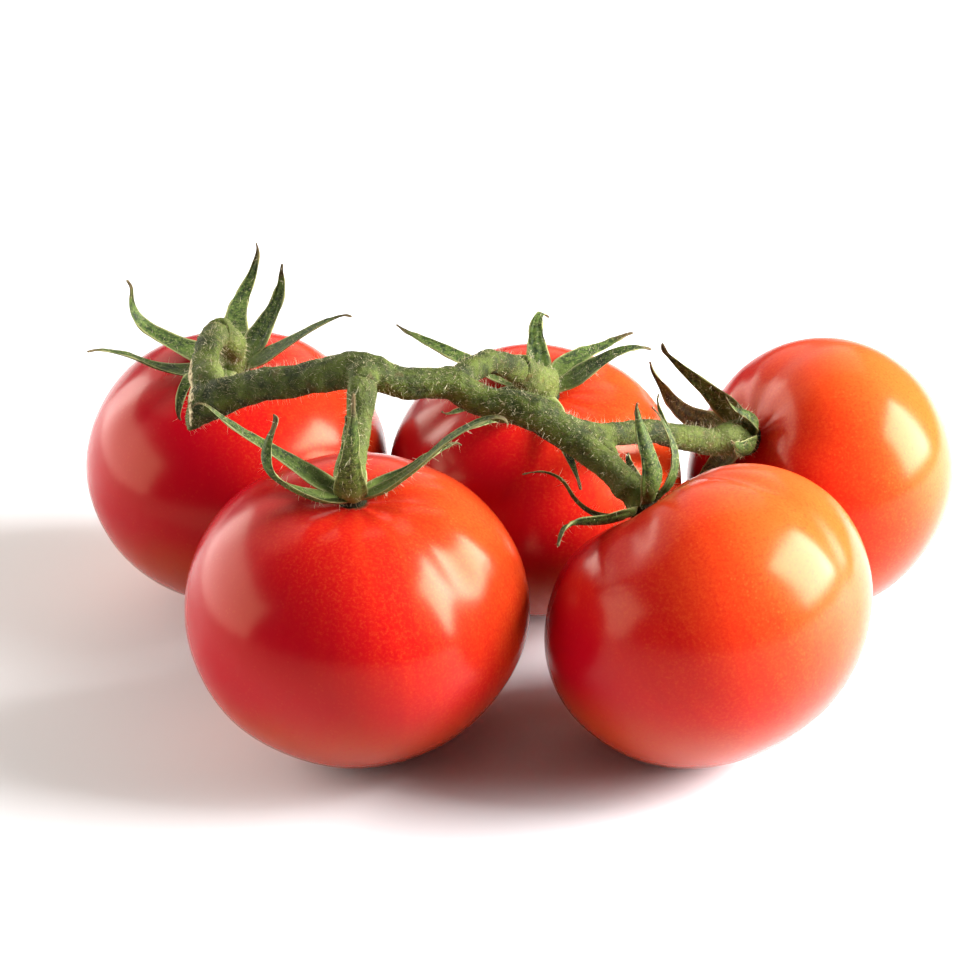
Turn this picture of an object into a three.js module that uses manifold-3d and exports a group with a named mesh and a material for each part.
// Tomato truss: five ripe tomatoes still joined to one cut fruit stalk.
// Millimetres, +Z up, front towards -Y. Every tomato rests on z = 0 on a small flat spot.
// Each tomato, each pedicel (the last piece of stem, between its knuckle and its tomato),
// each sepal and the stalk is one closed solid, and neighbours keep a small gap.

import * as THREE from "three";
import { mergeVertices } from "three/addons/utils/BufferGeometryUtils.js";
import Module from "manifold-3d";

const wasm = await Module();
wasm.setup();

// ---- Sizes of the tomatoes

const DIMPLE_DEPTH = 4.5; // hollow that the calyx sits in
const DIMPLE_RADIUS = 11;
const SHOULDER_FULLNESS = 0.045; // the upper half is this much broader than a plain oval
const ROUNDNESS = 0.96; // below 1 the side is a little boxier than an ellipse
const LOBE_DEPTH = 0.012; // waviness of the girth, as a share of the radius
const CREASE_PLACE = 32; // degrees from the calyx where a crease is deepest
const CREASE_REACH = 26; // degrees over which it fades
const FLAT_DEPTH = 0.45; // how much of the blossom end the resting spot takes off
const FRUIT_GAP = 0.4; // least gap between two tomatoes
const SPREAD_STEP = 0.5; // how far one round moves two crowded tomatoes apart
const SPREAD_ROUNDS = 200;
const ROUND_STEPS = 36;
const POLE_STEPS = 20;
const HALVINGS = 24; // rounds of halving when a place on the skin is looked for

// x and y place a tomato's centre. Its calyx end leans by `lean` degrees from upright
// towards the compass bearing `toward` (0 is +X, 90 is +Y). Creases run down from the calyx
// at their own bearings, each [bearing, depth, half width in degrees].
const FRUITS = [
  {
    name: "front_left", x: -25.5, y: -47, width: 66, squash: 0.87, lean: 5, toward: 264,
    lobes: 5, lobePhase: 20,
    creases: [[8, 1.1, 14], [52, 0.7, 13], [128, 0.8, 13], [215, 0.7, 15], [300, 0.6, 14]],
  },
  {
    name: "front_right", x: 41.5, y: -50.5, width: 64.5, squash: 0.85, lean: 41, toward: 142,
    lobes: 4, lobePhase: 60,
    creases: [[255, 1.5, 15], [318, 1.1, 13], [15, 0.9, 13], [80, 0.6, 15], [190, 0.7, 14]],
  },
  {
    name: "back_left", x: -53.5, y: 15.5, width: 63.5, squash: 0.88, lean: 8, toward: 283,
    lobes: 5, lobePhase: 0,
    creases: [[225, 0.9, 15], [300, 0.7, 14], [30, 0.8, 13], [110, 0.6, 14], [165, 0.6, 13]],
  },
  {
    name: "back_middle", x: 9.5, y: 10.5, width: 61.5, squash: 0.88, lean: 14, toward: 287,
    lobes: 4, lobePhase: 100,
    creases: [[185, 1.0, 14], [262, 0.7, 14], [335, 0.9, 13], [70, 0.6, 14], [128, 0.6, 13]],
  },
  {
    name: "back_right", x: 69.5, y: 12.5, width: 58.5, squash: 0.885, lean: 56, toward: 207,
    lobes: 4, lobePhase: 30,
    creases: [[60, 1.0, 14], [120, 0.8, 13], [345, 0.8, 14], [215, 0.6, 15], [285, 0.7, 13]],
  },
];

// ---- Sizes of the stalk and its joints

const STEM_SIDES = 12;
const STEM_STEP = 2.6; // spacing of the rings along a stem
const STEM_RIBS = 3; // the stalk is a soft triangle in section
const STEM_RIB_DEPTH = 0.05;
const KNUCKLE_GAP = 0.3; // between the stalk and a pedicel
const KNUCKLE_LEAD = 2.5; // straight run on both sides of a knuckle
const CALYX_GAP = 0.7; // between a pedicel and its tomato
const RECEPTACLE_HEIGHT = 2;

// ---- Sizes of the sepals

const SEPAL_ROOT_GAP = 0.8; // from the receptacle's rim to the middle of a sepal's root
const SEPAL_ROOT_HEIGHT = 1.5; // over the bottom of the dimple
const SEPAL_GAP = 0.4; // between the roots of neighbouring sepals
const SEPAL_THICKNESS = 1.1;
const SEPAL_THINNING = 0.66; // share of the thickness lost by the tip
const SEPAL_UNDERSIDE = 0.7; // room kept under the blade's middle, in thicknesses
const SEPAL_ROOT_NARROWING = 0.32; // share of the width missing at the root
const SEPAL_FULL_PLACE = 0.25; // share of the length over which the root widens
const SEPAL_TAPER = 1.15; // above 1 the blade stays broad for longer
const SEPAL_TIP_SHARE = 0.1; // width left at the tip
const SEPAL_ARCH_PLACE = 0.5; // share of the length where a sepal has its `arch` slope
const SEPAL_FALL_PLACE = 0.85; // share of the length where it has its `fall` slope
const SEPAL_ROOM = 80; // widest wedge, in degrees, that one sepal's root may take
const SEPAL_FIRST_STEP = 1.5; // the first of its steps over the mean, as they shorten outwards
const SEPAL_CUP = 0.22; // how far the edges curl up, as a share of the half width
const SEPAL_CLEAR = 0.45; // least height over the tomato's skin
const SEPAL_STEPS = 13;
// Its section: [across in half widths, cup in full cups, depth in thicknesses] per point.
const SEPAL_SECTION = [
  [1, 1, 0],
  [0, 0, 0.35],
  [-1, 1, 0],
  [-0.5, 0.3, -0.35],
  [0, 0, -0.6],
  [0.5, 0.3, -0.35],
];

// The stalk's main run, from its cut end to the first fork. Each `at` is a place from the
// front left calyx, with the height over the highest calyx.
const MAIN_RUN = [
  { at: [-33, 29.5, 5], radius: 3.8 },
  { at: [-20.5, 25, 12], radius: 3.3 },
  { at: [-10.5, 21, 15.5], radius: 3.2 },
  { at: [2, 17, 19.5], radius: 3.6 },
  { at: [8.5, 18, 16.5], radius: 3.1 },
  { at: [18.5, 21, 15], radius: 3.2 },
];
const KNEE = 3; // the point of the main run that the front left pedicel hangs from
const CUT_FACING = [-0.97, -0.2, 0.12];
const BRANCH_RADIUS = 2.6;

// The spur to the back left tomato leaves near the cut end, with a swollen axil. The spur and
// the middle branch each pass a point a share of the way to their knuckle, moved by `bow`.
const SPUR = {
  root: [-28, 28, 8], axil: [-30, 33, 10.5], axilRadius: 3.1,
  share: 0.5, bow: [-0.4, -0.3, 1.5], radius: 2.6,
};
const MIDDLE_BRANCH = { share: 0.54, bow: [0, 0, 3], radius: 2.4 };

// Points of the lower branch, as shares of the way from the first fork to the front right
// knuckle with an offset. The last is the second fork.
const LOWER_BRANCH = [
  { share: 0.2, offset: [0, 0.7, -0.7], radius: 3.1 },
  { share: 0.52, offset: [0, 1.4, 2.5], radius: 3.6 },
  { share: 0.64, offset: [0, 2.4, 1.7], radius: 3.3 },
];
// Points of the branch from the second fork to the back right knuckle.
const FAR_BRANCH = [
  { share: 0.26, offset: [0, 1.6, -2.2], radius: 2.5 },
  { share: 0.65, offset: [0, 1.6, 0], radius: 2.4 },
];
// A stub left where a sixth tomato never set.
const STUB = [
  { offset: [0, 0, 0], radius: 2.2 },
  { offset: [2.4, 0.6, -3.2], radius: 1.9 },
  { offset: [4.8, 1, -7], radius: 1.5 },
];

// From each calyx to its knuckle and to the bend between them, then the pedicel's radius at
// the knuckle, the bend, over the calyx and where it sits on the tomato.
const PEDICELS = {
  front_left: {
    knuckle: [1.7, 12, 18.6], bend: [1.4, 7, 13.6],
    neck: 2.8, belly: 2.4, foot: 2.4, receptacle: 2.8,
  },
  front_right: {
    knuckle: [-7, 4.7, 7.3], bend: [-3.4, 2.2, 4.6],
    neck: 2.8, belly: 3.2, foot: 2.6, receptacle: 2.8,
  },
  back_left: {
    knuckle: [-1.8, -12, 13.8], bend: [0.5, -6.5, 9],
    neck: 2.7, belly: 3, foot: 2.6, receptacle: 2.8,
  },
  back_middle: {
    knuckle: [-5.7, -11, 10.8], bend: [-3, -5.5, 6.3],
    neck: 2.7, belly: 3.3, foot: 2.7, receptacle: 2.9,
  },
  back_right: {
    knuckle: [-10.8, -6.8, 3.3], bend: [-6, -3.6, 2],
    neck: 2.7, belly: 3.6, foot: 3, receptacle: 3.1,
  },
};

const RAD = Math.PI / 180;

// The sepals round each calyx. A sepal leaves its root at `bearing` and ends turned by
// `sway`. Its slope over the calyx's plane is `rise` at the root, `arch` half way along and
// `fall` near the end, and its last part turns by a further `hook`.
// Each is [bearing, length, width, rise, arch, fall, hook, sway], in mm and degrees.
const SEPALS = {
  front_left: [
    [165, 33, 5.6, 35, 30, 50, -190, 20],
    [218, 33, 6.2, 30, 50, 150, -190, 30],
    [272, 33, 6.6, 60, 66, 90, 0, 60],
    [95, 14, 5.4, 30, 55, 60, 0, 0],
    [338, 37, 7.2, 40, 50, 20, -170, 33],
    [22, 21, 4.8, 12, 30, 5, -110, 15],
  ],
  front_right: [
    [222, 24, 7, 8, 25, -30, 10, 15],
    [182, 24, 4.2, 25, 95, 20, 0, -3],
    [302, 23, 6, 35, 70, 50, -55, -12],
    [345, 20, 5.4, 15, 75, 95, 25, 0],
    [18, 23, 5.6, 10, 80, 80, -80, 0],
    [78, 15, 4.8, 30, 60, 45, -50, -20],
  ],
  back_left: [
    [210, 34, 6.6, 10, 40, 25, -30, 15],
    [160, 30, 7.2, 10, 20, 110, -125, -14],
    [94, 33, 6.6, 18, 5, 78, 60, -66],
    [50, 23, 6.2, 45, 42, 98, -50, 24],
    [0, 26, 6.2, 38, 38, 30, -70, -15],
    [250, 32, 6, 25, 35, -75, -120, 5],
  ],
  back_middle: [
    [165, 33, 6.6, 12, 10, -10, 20, -45],
    [110, 20, 5.2, 72, 35, -45, 0, -85],
    [56, 25, 6.2, 16, -14, 20, -40, -40],
    [14, 22, 6, 42, 32, -15, -20, 8],
    [205, 22, 4.2, 20, -12, 15, 70, 20],
    [243, 30, 4.6, 16, 25, 0, 0, -40],
    [278, 29, 5.2, 14, 3, -18, -50, 18],
  ],
  back_right: [
    [145, 31, 6.6, 18, 0, 40, -45, -70],
    [98, 26, 6, 60, 75, 70, -95, -12],
    [28, 12, 5.2, 70, 100, 60, 0, 30],
    [300, 15, 5.2, 60, 55, 60, 30, 55],
    [210, 15, 5.6, 25, 5, -10, 0, 0],
  ],
};

// ---- Geometry helpers

function vec(x, y, z) {
  return new THREE.Vector3(x, y, z);
}

// A closed solid from rings of equally many points, each ring running anticlockwise round
// the direction of travel. The two end rings are filled flat.
function loft(rings) {
  const sides = rings[0].length;
  const points = rings.flat();
  const faces = [];
  for (let ring = 0; ring < rings.length - 1; ring++) {
    for (let side = 0; side < sides; side++) {
      const a = ring * sides + side;
      const b = ring * sides + ((side + 1) % sides);
      faces.push(a, b, b + sides);
      faces.push(a, b + sides, a + sides);
    }
  }
  const last = (rings.length - 1) * sides;
  for (let side = 1; side < sides - 1; side++) {
    faces.push(0, side + 1, side);
    faces.push(last, last + side, last + side + 1);
  }
  const geometry = new THREE.BufferGeometry().setFromPoints(points);
  geometry.setIndex(faces);
  return geometry;
}

function toManifold(geometry) {
  const bare = geometry.clone();
  bare.deleteAttribute("normal");
  bare.deleteAttribute("uv");
  const merged = mergeVertices(bare, 1e-5);
  const mesh = new wasm.Mesh({
    numProp: 3,
    vertProperties: new Float32Array(merged.attributes.position.array),
    triVerts: new Uint32Array(merged.index.array),
  });
  return new wasm.Manifold(mesh);
}

function fromManifold(solid) {
  const mesh = solid.getMesh();
  const geometry = new THREE.BufferGeometry();
  geometry.setAttribute("position", new THREE.BufferAttribute(mesh.vertProperties, 3));
  geometry.setIndex(new THREE.BufferAttribute(mesh.triVerts, 1));
  return geometry;
}

// ---- Tomatoes

function bell(distance, halfWidth) {
  return Math.exp(-((distance / halfWidth) ** 2));
}

function bearingGap(a, b) {
  const gap = Math.abs(a - b) % 360;
  return Math.min(gap, 360 - gap);
}

// A point of a tomato's skin in its own frame, with the calyx on +Z. `turn` is the angle
// from the calyx end and `bearing` the direction round the axis, both in degrees.
function skinPoint(fruit, turn, bearing) {
  const radius = fruit.width / 2;
  const side = Math.sin(turn * RAD);
  const up = Math.cos(turn * RAD);
  let out = radius * Math.max(side, 0) ** ROUNDNESS * (1 + SHOULDER_FULLNESS * up);
  let height = radius * fruit.squash * up;
  if (up > 0) height -= DIMPLE_DEPTH * bell(out, DIMPLE_RADIUS);
  const lobe = Math.cos((fruit.lobes * bearing + fruit.lobePhase) * RAD);
  out *= 1 + LOBE_DEPTH * lobe * side * side;
  for (const [at, depth, halfWidth] of fruit.creases) {
    const sunk = depth * bell(bearingGap(bearing, at), halfWidth) *
      bell(turn - CREASE_PLACE, CREASE_REACH) * side;
    out -= sunk * side;
    height -= sunk * up;
  }
  return vec(out * Math.cos(bearing * RAD), out * Math.sin(bearing * RAD), height);
}

// Height of a tomato's skin over its own centre, in its own frame, at a point of the
// calyx half.
function shoulderHeight(fruit, x, y) {
  const bearing = Math.atan2(y, x) / RAD;
  const wanted = Math.hypot(x, y);
  let low = 0;
  let high = 90;
  for (let step = 0; step < HALVINGS; step++) {
    const middle = (low + high) / 2;
    const point = skinPoint(fruit, middle, bearing);
    if (Math.hypot(point.x, point.y) < wanted) low = middle;
    else high = middle;
  }
  return skinPoint(fruit, low, bearing).z;
}

// The axes of a tomato's own frame: +Z towards its calyx and +X as near to the world's +X
// as it can be.
function fruitFrame(fruit) {
  const lean = fruit.lean * RAD;
  const toward = fruit.toward * RAD;
  const aside = Math.sin(lean);
  const up = vec(aside * Math.cos(toward), aside * Math.sin(toward), Math.cos(lean));
  const right = vec(1, 0, 0).addScaledVector(up, -up.x).normalize();
  const back = up.clone().cross(right);
  return new THREE.Matrix4().makeBasis(right, back, up);
}

// The skin: a lathed outline, with each point then moved to its place on the lobed and
// creased skin. The lathe's uv tells a point's share of the round and of the outline.
function skinGeometry(fruit) {
  const turns = [];
  for (let step = 0; step <= POLE_STEPS; step++) {
    turns.push(180 * (1 - step / POLE_STEPS));
  }
  const outline = turns.map((turn) => {
    const point = skinPoint(fruit, turn, 0);
    return new THREE.Vector2(point.x, point.z);
  });
  const geometry = new THREE.LatheGeometry(outline, ROUND_STEPS);
  const { position, uv } = geometry.attributes;
  for (let i = 0; i < position.count; i++) {
    const turn = turns[Math.round(uv.getY(i) * POLE_STEPS)];
    const point = skinPoint(fruit, turn, uv.getX(i) * 360);
    position.setXYZ(i, point.x, point.y, point.z);
  }
  geometry.applyMatrix4(fruitFrame(fruit));
  return geometry;
}

// Sets the tomatoes down so that the floor takes FLAT_DEPTH off each, and moves any two that
// are closer than FRUIT_GAP apart along the line between them.
function settleFruits() {
  const settled = FRUITS.map((fruit) => {
    const geometry = skinGeometry(fruit);
    geometry.computeBoundingBox();
    const centre = vec(fruit.x, fruit.y, -geometry.boundingBox.min.z - FLAT_DEPTH);
    return { ...fruit, centre, solid: toManifold(geometry), frame: fruitFrame(fruit) };
  });
  for (let round = 0; round < SPREAD_ROUNDS; round++) {
    let crowded = false;
    settled.forEach((one, index) => {
      for (const other of settled.slice(index + 1)) {
        const gap = one.solid.translate(one.centre.toArray())
          .minGap(other.solid.translate(other.centre.toArray()), 2 * FRUIT_GAP);
        if (gap >= FRUIT_GAP) continue;
        const apart = other.centre.clone().sub(one.centre).setZ(0).normalize();
        const step = SPREAD_STEP / 2;
        one.centre.addScaledVector(apart, -step);
        other.centre.addScaledVector(apart, step);
        crowded = true;
      }
    });
    if (!crowded) break;
  }
  return settled;
}

// The tomato's skin with its resting spot cut flat at the floor, about its own centre.
function restingGeometry(fruit) {
  const depth = fruit.width;
  const ground = new THREE.BoxGeometry(2 * fruit.width, 2 * fruit.width, depth);
  ground.translate(0, 0, -fruit.centre.z - depth / 2);
  return fromManifold(fruit.solid.subtract(toManifold(ground)));
}

// ---- Stems

// A stem along a smooth line through `stations`, each { at, radius }. Its rings stay square
// to the line, save the first, which is cut to the plane facing `cutFacing` if one is given.
function stemGeometry(stations, cutFacing) {
  const curve = new THREE.CatmullRomCurve3(stations.map((station) => station.at));
  const spans = stations.length - 1;
  const rings = [];
  const side = vec(0, 0, 1).cross(curve.getTangent(0)).normalize();
  const addRing = (at, tangent, radius) => {
    side.addScaledVector(tangent, -side.dot(tangent)).normalize();
    const up = tangent.clone().cross(side);
    const ring = [];
    for (let i = 0; i < STEM_SIDES; i++) {
      const angle = (2 * Math.PI * i) / STEM_SIDES;
      const reach = radius * (1 + STEM_RIB_DEPTH * Math.cos(STEM_RIBS * angle));
      const offset = side.clone().multiplyScalar(reach * Math.cos(angle))
        .addScaledVector(up, reach * Math.sin(angle));
      ring.push(at.clone().add(offset));
    }
    rings.push(ring);
  };
  for (let span = 0; span < spans; span++) {
    const from = stations[span];
    const to = stations[span + 1];
    const steps = Math.max(1, Math.round(from.at.distanceTo(to.at) / STEM_STEP));
    for (let step = span === 0 ? 0 : 1; step <= steps; step++) {
      const share = step / steps;
      const along = (span + share) / spans;
      const radius = THREE.MathUtils.lerp(from.radius, to.radius, share * share * (3 - 2 * share));
      addRing(curve.getPoint(along), curve.getTangent(along), radius);
    }
  }
  if (cutFacing) {
    const start = stations[0].at;
    const tangent = curve.getTangent(0);
    for (const point of rings[0]) {
      const short = start.clone().sub(point).dot(cutFacing) / tangent.dot(cutFacing);
      point.addScaledVector(tangent, short);
    }
  }
  return loft(rings);
}

function station(at, radius) {
  return { at, radius };
}

function byName(fruits, name) {
  return fruits.find((fruit) => fruit.name === name);
}

// The point `height` above a tomato's calyx along its axis.
function overCalyx(fruit, height) {
  const up = vec(0, 0, 1).transformDirection(fruit.frame);
  const calyx = (fruit.width / 2) * fruit.squash - DIMPLE_DEPTH;
  return fruit.centre.clone().addScaledVector(up, calyx + height);
}

// Where the stalk's branch and the pedicel face each other, and the way across.
function knuckle(fruit, cameFrom) {
  const pedicel = PEDICELS[fruit.name];
  const calyx = overCalyx(fruit, 0);
  const at = calyx.clone().add(vec(...pedicel.knuckle));
  const bend = calyx.clone().add(vec(...pedicel.bend));
  const across = bend.clone().sub(cameFrom).normalize();
  return { at, bend, across, radius: pedicel.neck };
}

function pedicelGeometry(fruit, joint) {
  const { belly, foot, receptacle } = PEDICELS[fruit.name];
  return stemGeometry([
    station(joint.at.clone().addScaledVector(joint.across, KNUCKLE_GAP), joint.radius),
    station(joint.at.clone().addScaledVector(joint.across, KNUCKLE_LEAD), joint.radius),
    station(joint.bend, belly),
    station(overCalyx(fruit, CALYX_GAP + 2 * RECEPTACLE_HEIGHT), foot),
    station(overCalyx(fruit, CALYX_GAP + RECEPTACLE_HEIGHT / 2), receptacle),
    station(overCalyx(fruit, CALYX_GAP), receptacle),
  ]);
}

// The last two stations of a branch, straight up to its knuckle.
function knuckleStations(joint) {
  return [
    station(joint.at.clone().addScaledVector(joint.across, -KNUCKLE_LEAD), joint.radius),
    station(joint.at, joint.radius),
  ];
}

// A point a share of the way from one point to another, moved by an offset.
function between(from, to, share, offset) {
  return from.clone().lerp(to, share).add(vec(...offset));
}

// The stalk: the main run from its cut end over the front left tomato to the first fork,
// and a branch to each tomato. Heights are over the highest calyx, and places are from the
// front left calyx.
function buildStalk(fruits) {
  const highest = Math.max(...fruits.map((fruit) => overCalyx(fruit, 0).z));
  const anchor = overCalyx(byName(fruits, "front_left"), 0);
  const place = ([x, y, over]) => vec(anchor.x + x, anchor.y + y, highest + over);
  const main = MAIN_RUN.map(({ at, radius }) => station(place(at), radius));
  const knee = main[KNEE].at;
  const fork = main[main.length - 1].at;
  const calyxOf = (name) => overCalyx(byName(fruits, name), 0);
  const spurRoot = place(SPUR.root);
  const axil = place(SPUR.axil);

  const joints = {};
  joints.front_left = knuckle(byName(fruits, "front_left"), knee);
  const spurEnd = calyxOf("back_left").add(vec(...PEDICELS.back_left.knuckle));
  const spurBow = between(axil, spurEnd, SPUR.share, SPUR.bow);
  joints.back_left = knuckle(byName(fruits, "back_left"), spurBow);
  const middleEnd = calyxOf("back_middle").add(vec(...PEDICELS.back_middle.knuckle));
  const middleBow = between(fork, middleEnd, MIDDLE_BRANCH.share, MIDDLE_BRANCH.bow);
  joints.back_middle = knuckle(byName(fruits, "back_middle"), middleBow);
  const rightEnd = calyxOf("front_right").add(vec(...PEDICELS.front_right.knuckle));
  const lower = LOWER_BRANCH.map(({ share, offset, radius }) =>
    station(between(fork, rightEnd, share, offset), radius));
  const secondFork = lower[lower.length - 1];
  joints.front_right = knuckle(byName(fruits, "front_right"), secondFork.at);
  const farEnd = calyxOf("back_right").add(vec(...PEDICELS.back_right.knuckle));
  const far = FAR_BRANCH.map(({ share, offset, radius }) =>
    station(between(secondFork.at, farEnd, share, offset), radius));
  joints.back_right = knuckle(byName(fruits, "back_right"), far[far.length - 1].at);

  const stubRoot = far[0].at;
  const stub = STUB.map(({ offset, radius }) =>
    station(stubRoot.clone().add(vec(...offset)), radius));

  const stems = [
    stemGeometry(main, vec(...CUT_FACING)),
    stemGeometry([station(knee, BRANCH_RADIUS), ...knuckleStations(joints.front_left)]),
    stemGeometry([
      station(spurRoot, BRANCH_RADIUS),
      station(axil, SPUR.axilRadius),
      station(spurBow, SPUR.radius),
      ...knuckleStations(joints.back_left),
    ]),
    stemGeometry([
      station(fork, BRANCH_RADIUS),
      station(middleBow, MIDDLE_BRANCH.radius),
      ...knuckleStations(joints.back_middle),
    ]),
    stemGeometry([
      station(fork, main[main.length - 1].radius),
      ...lower,
      ...knuckleStations(joints.front_right),
    ]),
    stemGeometry([
      station(secondFork.at, BRANCH_RADIUS),
      ...far,
      ...knuckleStations(joints.back_right),
    ]),
    stemGeometry(stub),
  ];
  const solid = stems.map(toManifold).reduce((whole, stem) => whole.add(stem));
  return { geometry: fromManifold(solid), joints };
}

// ---- Sepals

function slopeAt(along, { rise, arch, fall, hook }) {
  if (along < SEPAL_ARCH_PLACE) {
    return THREE.MathUtils.lerp(rise, arch, along / SEPAL_ARCH_PLACE);
  }
  if (along < SEPAL_FALL_PLACE) {
    const share = (along - SEPAL_ARCH_PLACE) / (SEPAL_FALL_PLACE - SEPAL_ARCH_PLACE);
    return THREE.MathUtils.lerp(arch, fall, share);
  }
  return fall + (hook * (along - SEPAL_FALL_PLACE)) / (1 - SEPAL_FALL_PLACE);
}

// The blade's width at a share of its length: narrower at the root, fullest a little way out,
// then drawn out to the tip.
function bladeShare(along) {
  const root = 1 - SEPAL_ROOT_NARROWING * Math.max(0, 1 - along / SEPAL_FULL_PLACE) ** 2;
  return root * (1 - (1 - SEPAL_TIP_SHARE) * along ** SEPAL_TAPER);
}

// One sepal in its tomato's own frame: a thin, slightly cupped blade with a keel, marched
// out from its root and lifted where it would touch the tomato's shoulder. It stays inside
// the wedge `room` degrees wide on each side of its bearing.
function sepalGeometry(fruit, sepal, room) {
  const start = PEDICELS[fruit.name].receptacle + SEPAL_ROOT_GAP;
  const calyxHeight = (fruit.width / 2) * fruit.squash - DIMPLE_DEPTH;
  const root = sepal.bearing * RAD;
  const at = vec(start * Math.cos(root), start * Math.sin(root), SEPAL_ROOT_HEIGHT);
  const rings = [];
  let along = 0;
  for (let step = 0; step <= SEPAL_STEPS; step++) {
    const slope = slopeAt(along, sepal) * RAD;
    const bearing = (sepal.bearing + sepal.sway * along * along) * RAD;
    const level = Math.cos(slope);
    const forward = vec(level * Math.cos(bearing), level * Math.sin(bearing), Math.sin(slope));
    const side = vec(-Math.sin(bearing), Math.cos(bearing), 0);
    const up = forward.clone().cross(side);
    const wedge = Math.hypot(at.x, at.y) * Math.tan(room * RAD) - SEPAL_GAP / 2;
    const half = Math.min((sepal.width / 2) * bladeShare(along), wedge);
    const thick = SEPAL_THICKNESS * (1 - SEPAL_THINNING * along);
    const skin = shoulderHeight(fruit, at.x, at.y) - calyxHeight;
    const lift = Math.max(0, skin + SEPAL_CLEAR + SEPAL_UNDERSIDE * thick - at.z);
    const ring = SEPAL_SECTION.map(([across, cupped, deep]) =>
      at.clone()
        .addScaledVector(side, across * half)
        .addScaledVector(up, SEPAL_CUP * half * cupped + deep * thick)
        .add(vec(0, 0, lift + calyxHeight)));
    rings.push(ring);
    const advance = (SEPAL_FIRST_STEP - along) / SEPAL_STEPS;
    at.addScaledVector(forward, advance * sepal.length);
    along = Math.min(1, along + advance);
  }
  return loft(rings);
}

// ---- Materials

const skinMaterial = new THREE.MeshStandardMaterial({
  color: 0xc4180f, roughness: 0.22, metalness: 0,
});
const stalkMaterial = new THREE.MeshStandardMaterial({
  color: 0x4d6b2c, roughness: 0.75, metalness: 0,
});
const pedicelMaterial = new THREE.MeshStandardMaterial({
  color: 0x6f8a3e, roughness: 0.75, metalness: 0,
});
const sepalMaterial = new THREE.MeshStandardMaterial({
  color: 0x33511f, roughness: 0.8, metalness: 0,
});

// ---- Assembly

function addMesh(parent, name, geometry, material) {
  const mesh = new THREE.Mesh(geometry, material);
  mesh.name = name;
  parent.add(mesh);
  return mesh;
}

const fruits = settleFruits();
const stalk = buildStalk(fruits);
const truss = new THREE.Group();
addMesh(truss, "stalk", stalk.geometry, stalkMaterial);
for (const fruit of fruits) {
  const tomato = addMesh(truss, `tomato_${fruit.name}`, restingGeometry(fruit), skinMaterial);
  tomato.position.copy(fruit.centre);
  const joint = stalk.joints[fruit.name];
  addMesh(truss, `pedicel_${fruit.name}`, pedicelGeometry(fruit, joint), pedicelMaterial);
  const calyx = new THREE.Group();
  calyx.position.copy(fruit.centre);
  calyx.quaternion.setFromRotationMatrix(fruit.frame);
  truss.add(calyx);
  const whorl = SEPALS[fruit.name];
  whorl.forEach((sizes, index) => {
    const [bearing, length, width, rise, arch, fall, hook, sway] = sizes;
    const sepal = { bearing, length, width, rise, arch, fall, hook, sway };
    const others = whorl.filter((other) => other !== sizes);
    const gaps = others.map((other) => bearingGap(other[0], bearing));
    const room = Math.min(...gaps, SEPAL_ROOM) / 2;
    const name = `sepal_${fruit.name}_${index + 1}`;
    addMesh(calyx, name, sepalGeometry(fruit, sepal, room), sepalMaterial);
  });
}

// The origin is under the middle of the whole truss, on the floor.
const bounds = new THREE.Box3().setFromObject(truss);
const middle = bounds.getCenter(new THREE.Vector3());
truss.position.set(-middle.x, -middle.y, 0);

export default truss;
